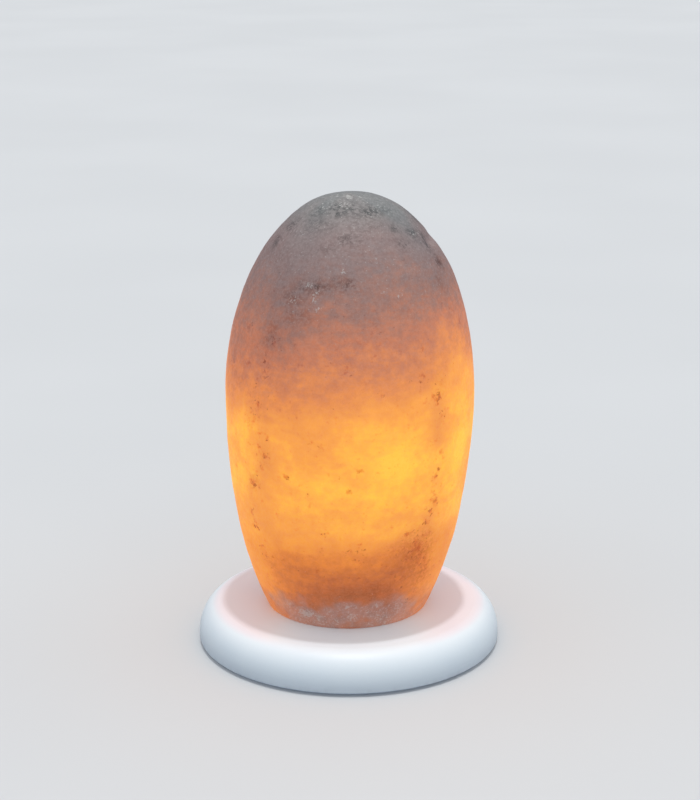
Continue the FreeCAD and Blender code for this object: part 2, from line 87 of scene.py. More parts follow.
# Camera: distances and angles worked out from the ellipse of the base's rim
view_target = Vector((0.63, 0, 122.9)) * mm
view_distance = 900 * mm
view_elevation = math.radians(16.39)
focal_pixels = 1846
frame_height_pixels = 800
sensor = 36.0

# Floor
floor_radius = 9.0
floor_sides = 96

# Light from the surroundings: how far a direction leans to the bright side, colour there
sky_colours = ((-1.0, (0.46, 0.48, 0.52)), (-0.5, (0.02, 0.05, 0.10)), (0.0, (0.05, 0.11, 0.20)),
               (0.50, (0.94, 0.95, 0.96)))
bright_side = (0.06, -0.14, 0.99)
backdrop_colour = (0.60, 0.61, 0.62)


# Helpers for meshes

def new_mesh(name, vertices, faces):
    """Smooth-shaded mesh object with its faces turned outwards."""
    mesh = bpy.data.meshes.new(name)
    mesh.from_pydata([tuple(v) for v in vertices], [], faces)
    work = bmesh.new()
    work.from_mesh(mesh)
    bmesh.ops.recalc_face_normals(work, faces=work.faces)
    work.to_mesh(mesh)
    work.free()
    mesh.polygons.foreach_set("use_smooth", [True] * len(mesh.polygons))
    mesh.set_sharp_from_angle(angle=sharp_angle)
    piece = bpy.data.objects.new(name, mesh)
    bpy.context.scene.collection.objects.link(piece)
    return piece


def finish_piece(piece, material, body, replaced):
    """Gives a piece its material, slot and body, and hides the nodes that it replaces."""
    piece.data.materials.append(material)
    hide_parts(*replaced)
    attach(piece, body)


def set_attribute(mesh, name, values):
    """Stores a number at each vertex, for a material to read."""
    layer = mesh.attributes.new(name, "FLOAT", "POINT")
    layer.data.foreach_set("value", values.astype(np.float32))


def strip(lower, upper):
    """Quads between two closed loops with as many vertices each."""
    count = len(lower)
    return [(lower[i], lower[(i + 1) % count], upper[(i + 1) % count], upper[i]) for i in range(count)]


def joined(loops):
    """Quads between each closed loop and the next."""
    return [quad for lower, upper in zip(loops, loops[1:]) for quad in strip(lower, upper)]


def fan(loop, tip):
    """Triangles between a closed loop and one vertex."""
    return [(loop[i], loop[(i + 1) % len(loop)], tip) for i in range(len(loop))]


def ring(radius, height, count, x=0.0, y=0.0):
    """Points evenly round an upright axis."""
    turns = np.arange(count) * 2 * math.pi / count
    return [(x + radius * math.cos(t), y + radius * math.sin(t), height) for t in turns]


def add_loop(vertices, points):
    """Adds points to a list of vertices and gives their places in it."""
    start = len(vertices)
    vertices.extend(points)
    return list(range(start, len(vertices)))


def smooth(low, high, value):
    """Share from 0 to 1, with soft ends, of the way from low to high."""
    share = np.clip((value - low) / (high - low), 0, 1)
    return share * share * (3 - 2 * share)


def cloud(points, size, seed, octaves=3):
    """Fractal noise of about -1 to 1 at each point, with swells of the given size."""
    shift = Vector((seed * 17.3, seed * 5.1, seed * 9.7))
    return np.array([noise.fractal(Vector(p) / size + shift, 0.9, 2.1, octaves) for p in points])


# Form of the crystal

def egg_radius(height):
    """Radius of the upright egg at a height."""
    half = np.where(height > widest_height, upper_half, lower_half)
    return crystal_radius * np.sqrt(np.clip(1 - ((height - widest_height) / half) ** 2, 0, 1))


def wall_heights(start):
    """Heights from the foot's rounding to the top, evenly spaced along the outline."""
    turns = np.linspace(0, math.pi / 2, outline_samples)
    heights = start + (crystal_top - start) * np.sin(turns)
    steps = np.hypot(np.diff(heights), np.diff(egg_radius(heights)))
    along = np.concatenate([[0], np.cumsum(steps)])
    return np.interp(np.linspace(0, along[-1], wall_rows + 1), along, heights)


def leaned(radius, height, turn):
    """Points of the egg after it is leaned about the foot and moved to its place."""
    x, y, rise = np.broadcast_arrays(radius * np.sin(turn), -radius * np.cos(turn), height - foot_height)
    return np.stack([x * math.cos(lean) + rise * math.sin(lean) + crystal_offset, y,
                     foot_height + rise * math.cos(lean) - x * math.sin(lean)], axis=-1)


def foot_corner(edge, outwards, slope):
    """Rows of points round the foot's rounded edge, up to where the wall starts at its slope."""
    middle = edge - outwards * foot_round * math.cos(slope)
    rows = []
    for angle in np.linspace(-math.pi / 2, -slope, corner_rows + 1)[:-1]:
        row = middle + outwards * foot_round * math.cos(angle)
        row[:, 2] = foot_height + foot_round * (1 + math.sin(angle))
        rows.append(row)
    return np.array(rows)


def crystal_wall():
    """Rows of points, each once round the crystal, from its foot to just under its top."""
    turn = np.radians(np.arange(around) * 360 / around)[None, :]
    slope = math.atan((crystal_radius / lower_half) ** 2 * (widest_height - foot_height) / foot_radius)
    round_top = foot_height + foot_round * (1 - math.sin(slope))
    heights = wall_heights(round_top)[:-1, None]
    low_shift = egg_radius(round_top) * np.sin(turn) * math.tan(lean)
    heights = heights + low_shift * (1 - smooth(round_top, widest_height, heights))
    wall = leaned(egg_radius(heights), heights, turn)
    wall[0, :, 2] = round_top
    outwards = np.stack([np.sin(turn[0]), -np.cos(turn[0]), np.zeros(around)], axis=-1)
    return np.concatenate([foot_corner(wall[0], outwards, slope), wall])


def bore_rings():
    """Rings of points up the bore's wall and over its dome."""
    dome_foot = bore_top - bore_radius
    rings = []
    for height in np.linspace(foot_height, dome_foot, bore_rows):
        rings.append(ring(bore_radius, height, bore_around))
    for angle in np.radians(np.linspace(0, 90, dome_rows)[1:-1]):
        height = dome_foot + bore_radius * math.sin(angle)
        rings.append(ring(bore_radius * math.cos(angle), height, bore_around))
    return rings


def foot_faces(vertices, outer, holes):
    """Triangles of the flat foot between its outer loop and its holes."""
    loops = [outer] + holes
    ids = [i for loop in loops for i in loop]
    place = {i: k for k, i in enumerate(ids)}
    flat = [Vector(vertices[i][:2]) for i in ids]
    edges = [(place[loop[k]], place[loop[(k + 1) % len(loop)]]) for loop in loops for k in range(len(loop))]
    centres = [sum((flat[place[i]] for i in hole), Vector((0, 0))) / len(hole) for hole in holes]
    reaches = [(flat[place[hole[0]]] - centre).length for hole, centre in zip(holes, centres)]
    found = geometry.delaunay_2d_cdt(flat, edges, [], 1, 1e-9)
    points, triangles, origins = found[0], found[2], found[3]
    kept = []
    for triangle in triangles:
        middle = sum((points[k] for k in triangle), Vector((0, 0))) / 3
        if all((middle - centre).length > reach * 0.99 for centre, reach in zip(centres, reaches)):
            kept.append([ids[origins[k][0]] for k in triangle])
    return kept


def crystal_mesh():
    """The whole crystal: outside, foot, bore with a dome, and the three plug holes."""
    vertices = []
    wall = [add_loop(vertices, [tuple(point) for point in row]) for row in crystal_wall()]
    top = add_loop(vertices, [tuple(leaned(0.0, crystal_top, 0.0))])[0]
    faces = joined(wall) + fan(wall[-1], top)
    outside_count = len(vertices)
    bore = [add_loop(vertices, points) for points in bore_rings()]
    dome_top = add_loop(vertices, [(0, 0, bore_top)])[0]
    faces += joined(bore) + fan(bore[-1], dome_top)
    holes = [bore[0]]
    for angle in np.radians(plug_angles):
        x = plug_circle * math.cos(angle)
        y = plug_circle * math.sin(angle)
        mouth = add_loop(vertices, ring(plug_hole_radius, foot_height, plug_around, x, y))
        end = add_loop(vertices, ring(plug_hole_radius, foot_height + plug_hole_depth, plug_around, x, y))
        faces += strip(mouth, end) + [tuple(end)]
        holes.append(mouth)
    faces += foot_faces(vertices, wall[0], holes)
    return np.array(vertices), faces, outside_count


# Light and marks on the crystal

# How brightly the bulb shines through: over the height above the edge of the lit part, and near the foot
fade_heights = np.array((-12, -5, 0, 6, 14, 24, 34, 44, 56, 68, 94)) * mm
fade_levels = (1.0, 0.95, 0.85, 0.76, 0.66, 0.56, 0.45, 0.34, 0.22, 0.14, 0.0)
foot_heights = np.array((26, 32, 40, 50, 60, 66, 74, 86, 98)) * mm
foot_levels = (0.39, 0.46, 0.53, 0.64, 0.80, 0.88, 0.95, 0.98, 1.0)
lit_edge = 138 * mm
full_glow = 0.89

# Waves of that edge: depth, size, seed
edge_waves = ((3.5 * mm, 40 * mm, 1), (2 * mm, 11 * mm, 8))

# Where that edge lies higher or lower: azimuth, half width, rise in mm, and how much shorter it fades
lit_rises = (
    (60, 20, 17, 0.38), (24, 16, 2, 0.0), (-38, 18, -9, 0.0), (-78, 16, -7, 0.0), (100, 14, -8, 0.0),
    (138, 24, 14, 0.4), (-172, 20, -8, 0.0), (-124, 26, 10, 0.3),
)

# Towards the sides the foot is darkened less: azimuths, share that comes back, share of it right at the foot
flank_azimuths = (18, 58)
flank_gain = 0.66
flank_foot_share = 0.72
flank_foot_heights = (26 * mm, 36 * mm)

# Brighter and darker places in the lit part:
# azimuth, height, half width and half height in mm, strength
bright_spots = (
    (23, 110, 13, 17, 0.10), (63, 104, 8, 24, 0.10), (-57, 114, 6, 16, 0.06), (-8, 94, 12, 9, 0.05),
    (14, 90, 11, 9, 0.08), (-41, 106, 6, 22, -0.08), (43, 124, 5, 12, -0.09), (-26, 122, 14, 9, -0.08),
    (-68, 127, 8, 9, -0.08), (-34, 58, 9, 9, -0.05), (58, 144, 15, 9, -0.10), (50, 162, 8, 8, 0.07),
    (33, 183, 9, 9, 0.04), (22, 131, 12, 6, -0.06), (-50, 80, 6, 12, -0.02), (62, 64, 6, 9, -0.06),
    (43, 78, 5, 10, -0.06), (36, 57, 11, 11, -0.11), (10, 40, 14, 7, -0.04), (-42, 50, 5, 8, -0.04),
    (36, 196, 12, 6, 0.05), (-10, 182, 4, 3, 0.03), (-62, 200, 8, 5, -0.03), (-32, 160, 20, 12, -0.04),
    (25, 160, 10, 6, 0.03), (12, 79, 12, 7, 0.04), (-40, 95, 10, 10, -0.04), (-50, 66, 8, 9, -0.04),
    (-66, 153, 12, 9, -0.06), (96, 112, 12, 22, 0.08), (128, 94, 16, 14, 0.06), (160, 118, 14, 18, 0.09),
    (-152, 92, 15, 20, 0.08), (-118, 114, 14, 20, 0.07), (-88, 92, 10, 18, 0.05), (112, 70, 8, 14, -0.08),
    (-134, 66, 12, 12, -0.09), (176, 58, 12, 14, -0.12), (-104, 124, 6, 12, -0.07),
)

# Seams in the salt where dark specks gather: heights in mm, azimuths at these, strength, width in degrees
seams = (
    ((40, 60, 75, 95, 107, 135, 170), (-52, -50, -54, -47, -43, -45, -37), 0.48, 4.0),
    ((60, 70, 78, 100, 134, 148), (25, 36, 43, 46, 44, 38), 0.50, 4.0),
    ((34, 70, 110, 150, 182), (106, 92, 101, 88, 80), 0.40, 7.0),
    ((36, 80, 120, 168), (170, 155, 166, 148), 0.40, 8.0),
    ((40, 90, 130, 174), (-122, -108, -116, -100), 0.40, 7.0),
)
seam_wander = 1.5                       # degrees
seam_ends = (-6 * mm, 2 * mm)           # each end fades in from outside to inside

# Clusters of specks and single ones: azimuth, height, half width and half height in mm, strength
speck_clusters = (
    (37, 62, 11, 10, 0.60), (44, 52, 7, 8, 0.50), (41, 33, 4, 4, 0.45), (33, 44, 8, 8, 0.30),
    (-40, 109, 4, 6, 0.36), (-48, 127, 6, 12, 0.36), (-39, 163, 7, 8, 0.42), (-52, 150, 5, 6, 0.35),
    (42, 140, 6, 6, 0.40), (5, 64, 5, 6, 0.40), (-49, 92, 4.0, 3.0, 0.95), (-13, 118, 4.5, 1.6, 0.62),
    (0, 153, 2, 1.6, 0.7), (16, 142, 1.6, 1.6, 0.7), (34, 147, 2, 2, 0.7), (37, 160, 1.6, 1.6, 0.7),
    (-68, 148, 2, 3, 0.6), (-60, 139, 3, 3, 0.5), (-11, 73, 2.2, 1.6, 0.8), (6, 106, 2.0, 1.3, 0.75),
    (46, 85, 2.0, 3.0, 1.0), (44, 80, 2.0, 2.6, 1.0), (46, 101, 1.8, 2.2, 0.95), (44, 98, 1.6, 1.6, 0.8),
    (44, 137, 3.0, 3.6, 0.95), (41, 75, 2.4, 2.0, 0.8), (31, 71, 3.2, 1.6, 0.8),
    (-40, 109, 2.0, 2.0, 0.9), (-44, 103, 4.0, 4.0, 0.5), (-54, 70, 1.8, 2.6, 0.9),
    (-28, 101, 2.0, 1.6, 0.8), (1, 96, 1.3, 1.3, 0.7), (-18, 93, 1.2, 1.2, 0.6), (19, 110, 1.2, 1.2, 0.6),
    (-53, 75, 1.6, 2.2, 0.8), (-51, 69, 1.4, 2.0, 0.8), (-39, 117, 1.3, 1.3, 0.7),
    (36, 72, 2.4, 1.6, 0.8), (-1, 156, 1.8, 1.4, 0.6), (56, 178, 2.0, 2.0, 0.6),
    (-57, 167, 3.0, 3.0, 0.5), (80, 152, 9, 9, 0.30), (122, 128, 8, 8, 0.42), (146, 74, 9, 9, 0.42),
    (-82, 70, 8, 12, 0.40), (-92, 140, 6, 9, 0.42), (-160, 130, 9, 8, 0.42), (-146, 52, 9, 8, 0.42),
    (100, 48, 8, 8, 0.42),
)

# Grey patches on the crown and brown ones lower down: azimuth, height, half sizes in mm, strength
stains = (
    (-13, 220.5, 6, 2.4, 1.0), (-40, 219, 5, 2.4, 0.8), (30, 219.5, 8, 2.2, 1.0), (8, 221.5, 5, 1.8, 0.8),
    (-62, 212, 4, 2.6, 0.8), (-68, 204, 3.5, 3.0, 0.8), (-30, 214, 9, 3.0, 0.45), (2, 209, 4.5, 2.2, 1.0),
    (18, 214, 7, 2.0, 0.35), (-14, 205, 5, 2.0, 0.3), (44, 212, 3, 1.4, 1.0), (60, 209, 3.5, 2.2, 1.0),
    (43, 206, 3, 1.8, 0.8), (70, 204, 3, 4.0, 1.0), (70, 195, 3.5, 4.0, 0.8), (61, 187, 3, 3.5, 0.5),
    (-19, 189, 10, 3.0, 0.85), (-2, 191, 7, 3.0, 0.8), (-30, 183, 7, 3.5, 0.65), (-26, 176, 9, 4.0, 0.40),
    (-40, 166, 5, 7.0, 0.45), (-42, 187, 7, 7.0, 0.12), (-52, 199, 6, 3.0, 0.15),
    (38, 60, 11, 12.0, 0.45), (45, 45, 6, 10.0, 0.35), (14, 41, 16, 6.0, 0.28), (24, 31, 10, 4.0, 0.28),
    (-39, 108, 4, 6.0, 0.12), (-49, 94, 4, 4.0, 0.30), (46, 140, 4, 7.0, 0.20), (96, 213, 8, 4.0, 0.8),
    (128, 207, 8, 4.0, 0.7), (168, 216, 9, 4.0, 0.9), (-104, 212, 7, 5.0, 0.8), (-148, 205, 8, 4.0, 0.6),
    (112, 192, 7, 5.0, 0.5), (-128, 190, 9, 5.0, 0.5), (152, 184, 9, 5.0, 0.4), (-176, 62, 10, 9.0, 0.3),
    (-134, 64, 10, 10.0, 0.28), (112, 66, 8, 11.0, 0.28),
)

# Pale grains: azimuth, height, half sizes in mm, strength
pale_patches = (
    (-27, 27, 5.5, 3.2, 1.0), (-18, 26, 3.0, 2.2, 0.75), (3, 27, 5.0, 3.0, 0.75), (0, 33, 6.0, 3.0, 0.6),
    (18, 33, 4.0, 2.5, 0.6), (34, 31, 6.0, 4.0, 0.55), (-40, 30, 5.0, 3.0, 0.6),
    (-56, 30, 4.0, 3.0, 0.35), (-17, 185, 2.0, 2.6, 0.75), (-22, 190, 3.4, 1.8, 0.65),
    (-15, 180, 1.8, 1.8, 0.75), (-2, 196, 1.4, 1.0, 0.8), (20, 187, 1.4, 1.0, 0.8),
    (29, 185, 1.4, 1.0, 0.8), (11, 196, 3.0, 1.6, 0.4), (-30, 183, 3.4, 2.0, 0.5),
    (-6, 222.5, 6.0, 1.6, 0.50), (7, 225, 2.0, 1.0, 0.8), (-30, 222, 5.0, 1.4, 0.45),
    (46, 221, 5.0, 1.6, 0.45), (60, 209, 3.0, 1.5, 0.5), (-45, 210, 7.0, 3.0, 0.35),
    (130, 220, 9.0, 3.0, 0.55), (-140, 221, 9.0, 3.0, 0.55), (120, 30, 9.0, 4.0, 0.6),
    (156, 28, 7.0, 3.0, 0.8), (-160, 30, 8.0, 4.0, 0.6), (-112, 29, 8.0, 4.0, 0.7),
)

# Crust of pale grains: heights between which each part of it grows from nothing to full
crust_foot = (42 * mm, 27 * mm)
crust_crown = (211 * mm, 222 * mm)
crust_sparse = (160 * mm, 200 * mm)
sparse_strength = 0.13
thin_from = (38, 62)                    # azimuths where the foot's crust gets thin and thick again
thin_until = (100, 130)
thinned = 0.6

# Chip high on the right and the ledge under it: azimuth, height, half sizes and depth in mm
dents = ((84, 204, 9, 2.6, 1.7), (86, 188, 13, 12, -0.7))
flat_top_radius = 16 * mm
flat_top_depth = 1.05 * mm

# Relief of the salt: swells with their height, size, seed and octaves, and how deep the marks lie
swells = ((0.35 * mm, 34 * mm, 5, 2), (0.10 * mm, 7 * mm, 6, 3))
mark_depths = {"specks": 0.20 * mm, "stain": 0.15 * mm, "crust": -0.15 * mm}
relief_start = (1.2 * mm, 5 * mm)       # above the foot
outwards_rise = 0.45                    # the relief stands out more sideways than up


def azimuth_of(points):
    """Degrees round the crystal's axis from the front, positive towards the right."""
    return np.degrees(np.arctan2(points[:, 0] - crystal_offset, -points[:, 1]))


def apart(azimuth, place):
    """Degrees from one azimuth to others, from -180 to 180."""
    return (azimuth - place + 180) % 360 - 180


def spot_at(azimuth, height, spot):
    """Soft round spot; it is given by azimuth, height, half width and half height in mm, and strength."""
    place, level, half_width, half_height, strength = spot
    across = np.radians(apart(azimuth, place)) * egg_radius(np.array(level * mm)) / (half_width * mm)
    along = (height - level * mm) / (half_height * mm)
    return strength * np.exp(-(across ** 2 + along ** 2))


def strongest_at(azimuth, height, spots):
    """Strongest of the round spots at each point."""
    result = np.zeros(len(height))
    for spot in spots:
        result = np.maximum(result, spot_at(azimuth, height, spot))
    return result


def glow_at(points, azimuth):
    """Brightness of the light that comes through the salt, 0 to 1."""
    height = points[:, 2]
    edge = np.full(len(points), lit_edge)
    for depth, size, seed in edge_waves:
        edge += depth * cloud(points, size, seed)
    stretch = np.ones(len(points))
    for place, width, rise, shorter in lit_rises:
        share = np.exp(-(apart(azimuth, place) / width) ** 2)
        edge += rise * mm * share
        stretch -= shorter * share
    upper = np.interp((height - edge) / stretch, fade_heights, fade_levels)
    lower = np.interp(height, foot_heights, foot_levels)
    above_foot = flank_foot_share + (1 - flank_foot_share) * smooth(*flank_foot_heights, height)
    flank = smooth(*flank_azimuths, np.abs(apart(azimuth, 0))) * above_foot
    lower += (1 - lower) * flank_gain * flank
    glow = full_glow * upper * lower
    for spot in bright_spots:
        glow += spot_at(azimuth, height, spot)
    return np.clip(glow, 0, 1)


def stain_at(points, azimuth):
    """Strength of the grey and brown patches, with ragged edges."""
    ragged = 1.05 + 0.7 * cloud(points, 5 * mm, 2, 4)
    return np.clip(strongest_at(azimuth, points[:, 2], stains) * ragged, 0, 1)


def specks_at(points, azimuth):
    """How closely the dark specks lie, 0 to 1."""
    height = points[:, 2]
    density = strongest_at(azimuth, height, speck_clusters)
    gaps = smooth(-0.35, 0.40, cloud(points, 9 * mm, 9, 2))
    wander = seam_wander * cloud(points, 14 * mm, 10, 2)
    for heights, azimuths, strength, width in seams:
        levels = np.array(heights) * mm
        off = apart(azimuth, np.interp(height, levels, azimuths)) + wander
        ends = smooth(*seam_ends, height - levels[0]) * smooth(*seam_ends, levels[-1] - height)
        density = np.maximum(density, strength * gaps * ends * np.exp(-(off / width) ** 2))
    return density


def crust_at(points, azimuth):
    """How closely the pale grains lie, 0 to 1: a band along the foot, the top, and single patches."""
    height = points[:, 2]
    from_front = np.abs(apart(azimuth, 0))
    side = smooth(*thin_from, from_front) - smooth(*thin_until, from_front)
    ragged = height + 7 * mm * cloud(points, 13 * mm, 12)
    band = smooth(*crust_foot, ragged) * (1 - thinned * side) * (0.35 + 0.25 * cloud(points, 7 * mm, 3))
    crown = smooth(*crust_crown, height) * (0.22 + 0.2 * cloud(points, 6 * mm, 4))
    sparse = sparse_strength * smooth(*crust_sparse, height)
    spread = np.maximum(np.maximum(band, crown), sparse)
    return np.clip(np.maximum(spread, strongest_at(azimuth, height, pale_patches)), 0, 1)


def dents_at(points, azimuth):
    """Depth in metres of the chip and of the flattened top, less the ledge under the chip."""
    height = points[:, 2]
    from_axis = points[:, 0] ** 2 + points[:, 1] ** 2
    depth = flat_top_depth * np.exp(-from_axis / flat_top_radius ** 2) * (height > widest_height)
    for dent in dents:
        depth += mm * spot_at(azimuth, height, dent)
    return depth


def relief_at(points, azimuth, marks):
    """How far the surface stands out from the egg, in metres. The foot's edge stays as it is."""
    rise = -dents_at(points, azimuth)
    for height, size, seed, octaves in swells:
        rise += height * cloud(points, size, seed, octaves)
    for name, depth in mark_depths.items():
        rise -= depth * marks[name]
    return rise * smooth(foot_height + relief_start[0], foot_height + relief_start[1], points[:, 2])


def outwards_of(points):
    """Unit directions away from the middle of the crystal."""
    away = points - np.array((crystal_offset, 0, widest_height))
    away[:, 2] *= outwards_rise
    return away / np.linalg.norm(away, axis=1)[:, None]


def crystal():
    """The salt. Its light and marks are stored at its vertices, where its material reads them."""
    points, faces, outside_count = crystal_mesh()
    outside = points[:outside_count]
    azimuth = azimuth_of(outside)
    marks = {"glow": glow_at(outside, azimuth), "stain": stain_at(outside, azimuth),
             "specks": specks_at(outside, azimuth), "crust": crust_at(outside, azimuth)}
    rise = relief_at(outside, azimuth, marks)
    points[:outside_count] += outwards_of(outside) * rise[:, None]
    piece = new_mesh("crystal_lit", points, faces)
    inside_count = len(points) - outside_count
    for name, values in marks.items():
        set_attribute(piece.data, name, np.concatenate([values, np.zeros(inside_count)]))
    in_bore = np.concatenate([np.zeros(outside_count), np.ones(inside_count)])
    set_attribute(piece.data, "bore", in_bore)
    finish_piece(piece, salt_material(), "root", ["crystal"])


# Filament

filament_turns = 44
steps_per_turn = 16
wire_sides = 8
wire_radius = 0.055 * mm
straight_end = 0.8 * mm


def coil_path(low, high):
    """Middle line of the coiled wire, straight at both ends, within the box of the solid filament."""
    coil_radius = (high.y - low.y) / 2 - wire_radius
    height = (low.z + high.z) / 2
    reach = high.x - wire_radius
    steps = filament_turns * steps_per_turn
    path = []
    for k in range(steps + 1):
        share = k / steps
        angle = 2 * math.pi * filament_turns * share
        x = (reach - straight_end) * (2 * share - 1)
        path.append(Vector((x, coil_radius * math.sin(angle), height + coil_radius * math.cos(angle))))
    return [Vector((-reach, 0, path[0].z))] + path + [Vector((reach, 0, path[-1].z))]


def filament():
    """Coiled tungsten wire between the two leads."""
    path = coil_path(*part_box("bulb_filament"))
    almost_along = Vector((1, 0, 0.01))
    vertices = []
    for k, place in enumerate(path):
        ahead = (path[min(k + 1, len(path) - 1)] - path[max(k - 1, 0)]).normalized()
        side = ahead.cross(almost_along).normalized()
        up = side.cross(ahead)
        for n in range(wire_sides):
            angle = 2 * math.pi * n / wire_sides
            vertices.append(place + wire_radius * (math.cos(angle) * side + math.sin(angle) * up))
    loops = [list(range(k * wire_sides, (k + 1) * wire_sides)) for k in range(len(path))]
    faces = joined(loops) + [tuple(loops[0]), tuple(loops[-1])]
    piece = new_mesh("filament_coil", vertices, faces)
    finish_piece(piece, hot_wire_material(), "bulb", ["bulb_filament"])


# Nodes of materials and of the world

class Graph:
    """A node tree. Each step adds nodes to it and gives the socket that holds their result."""

    def __init__(self, tree):
        self.tree = tree

    def add(self, kind):
        """A new node of a kind."""
        return self.tree.nodes.new("ShaderNode" + kind)

    def set(self, socket, value):
        """Links another socket to this one, or sets its value."""
        if isinstance(value, bpy.types.NodeSocket):
            self.tree.links.new(value, socket)
        elif isinstance(value, (tuple, list)) and len(value) == 3 and socket.type == "RGBA":
            socket.default_value = (*value, 1.0)
        else:
            socket.default_value = value

    def math(self, operation, a, b=0.0, clamp=False):
        """Result of a Math node."""
        node = self.add("Math")
        node.operation = operation
        node.use_clamp = clamp
        self.set(node.inputs[0], a)
        self.set(node.inputs[1], b)
        return node.outputs["Value"]

    def plus(self, a, b):
        return self.math("ADD", a, b)

    def times(self, a, b):
        return self.math("MULTIPLY", a, b)

    def larger(self, a, b):
        return self.math("MAXIMUM", a, b)

    def scale(self, value, low, high, start=0.0, end=1.0, kind="SMOOTHSTEP"):
        """From start at low to end at high, with soft ends unless the kind says otherwise."""
        node = self.add("MapRange")
        node.interpolation_type = kind
        self.set(node.inputs["Value"], value)
        self.set(node.inputs["From Min"], low)
        self.set(node.inputs["From Max"], high)
        self.set(node.inputs["To Min"], start)
        self.set(node.inputs["To Max"], end)
        return node.outputs["Result"]

    def spread(self, pattern, start=0.0, end=1.0):
        """From start to end over the values that a noise takes most, 0.3 to 0.7."""
        return self.scale(pattern, 0.3, 0.7, start, end)

    def mix(self, share, a, b, blend="MIX"):
        """Colour a with a share of colour b laid over it."""
        node = self.add("Mix")
        node.data_type = "RGBA"
        node.blend_type = blend
        first, second = [socket for socket in node.inputs if socket.type == "RGBA"]
        self.set(node.inputs["Factor"], share)
        self.set(first, a)
        self.set(second, b)
        return [socket for socket in node.outputs if socket.type == "RGBA"][0]

    def ramp(self, share, stops, kind="LINEAR"):
        """Colour by share; stops are (share, colour)."""
        node = self.add("ValToRGB")
        node.color_ramp.interpolation = kind
        elements = node.color_ramp.elements
        while len(elements) < len(stops):
            elements.new(0.5)
        for element, (place, colour) in zip(elements, stops):
            element.position = place
            element.color = (*colour, 1.0)
        self.set(node.inputs["Fac"], share)
        return node.outputs["Color"]


class Recipe(Graph):
    """Nodes of one material."""

    def __init__(self, name):
        self.material = bpy.data.materials.new(name)
        self.material.use_nodes = True
        super().__init__(self.material.node_tree)
        self.shader = self.tree.nodes["Principled BSDF"]
        self.place = self.add("TexCoord").outputs["Object"]

    def shade(self, **values):
        """Sets inputs of the shader; Base_Color stands for Base Color."""
        for name, value in values.items():
            self.set(self.shader.inputs[name.replace("_", " ")], value)
        return self.material

    def attribute(self, name):
        """A number stored at the vertices."""
        node = self.add("Attribute")
        node.attribute_name = name
        return node.outputs["Fac"]

    def along(self, axis):
        """Place along X, Y or Z, in metres."""
        node = self.add("SeparateXYZ")
        self.set(node.inputs["Vector"], self.place)
        return node.outputs[axis]

    def noise(self, size, detail=3.0, rough=0.5, stretch=(1, 1, 1), distort=0.0):
        """Noise with features of about that size in metres, wider along the axes that are stretched."""
        mapping = self.add("Mapping")
        mapping.inputs["Scale"].default_value = [1 / (size * s) for s in stretch]
        self.set(mapping.inputs["Vector"], self.place)
        node = self.add("TexNoise")
        self.set(node.inputs["Vector"], mapping.outputs["Vector"])
        node.inputs["Scale"].default_value = 1.0
        node.inputs["Detail"].default_value = detail
        node.inputs["Roughness"].default_value = rough
        node.inputs["Distortion"].default_value = distort
        return node.outputs["Fac"]

    def bump(self, height, depth, strength=1.0, below=None):
        """Bump of a height from 0 to 1 over a depth in metres, on top of another bump."""
        node = self.add("Bump")
        node.inputs["Strength"].default_value = strength
        node.inputs["Distance"].default_value = depth
        self.set(node.inputs["Height"], height)
        if below is not None:
            self.set(node.inputs["Normal"], below)
        return node.outputs["Normal"]


# Salt

# Its own colour and the colour of the light through it, by how strongly it is lit
salt_colours = ((0.0, (0.280, 0.250, 0.248)), (0.12, (0.296, 0.247, 0.239)), (0.3, (0.295, 0.243, 0.218)),
                (0.6, (0.325, 0.226, 0.172)), (1.0, (0.336, 0.200, 0.080)))
light_colours = ((0.0, (0, 0, 0)), (0.15, (0.06, 0.008, 0.001)), (0.3, (0.17, 0.030, 0.004)),
                 (0.5, (0.39, 0.080, 0.010)), (0.7, (0.65, 0.175, 0.015)), (0.85, (0.84, 0.29, 0.024)),
                 (1.0, (0.98, 0.50, 0.038)))

# Heights between which its looks change
brown_and_shaded_foot = (78 * mm, 56 * mm)
cool_crown = (208 * mm, 219 * mm)
crust_fade = (80 * mm, 60 * mm)
bore_fade = (20 * mm, 95 * mm)


def salt_patterns(r):
    """The salt's own texture, from coarse to fine."""
    return {"mottle": r.noise(4.5 * mm, 4, 0.6), "streaks": r.noise(2.4 * mm, 3, 0.55, (4, 4, 1), 0.5),
            "grit": r.noise(1.5 * mm, 3, 0.65), "grain": r.noise(0.7 * mm, 2, 0.6)}


def salt_lit(r, patterns):
    """How strongly it is lit: soft clouds where the light is strong, small blotches where it fades."""
    glow = r.attribute("glow")
    veil = r.noise(17 * mm, 2, 0.5, (1.5, 1.5, 1.0), 0.4)
    lit = r.plus(glow, r.times(glow, r.spread(veil, -0.048, 0.048)))
    part_lit = r.times(r.scale(glow, 0.04, 0.25), r.scale(glow, 0.55, 0.85, 1.0, 0.5))
    for name, strength in (("mottle", 0.050), ("streaks", 0.030), ("grit", 0.018)):
        lit = r.plus(lit, r.times(part_lit, r.spread(patterns[name], -strength, strength)))
    return r.math("ADD", lit, 0.0, True)


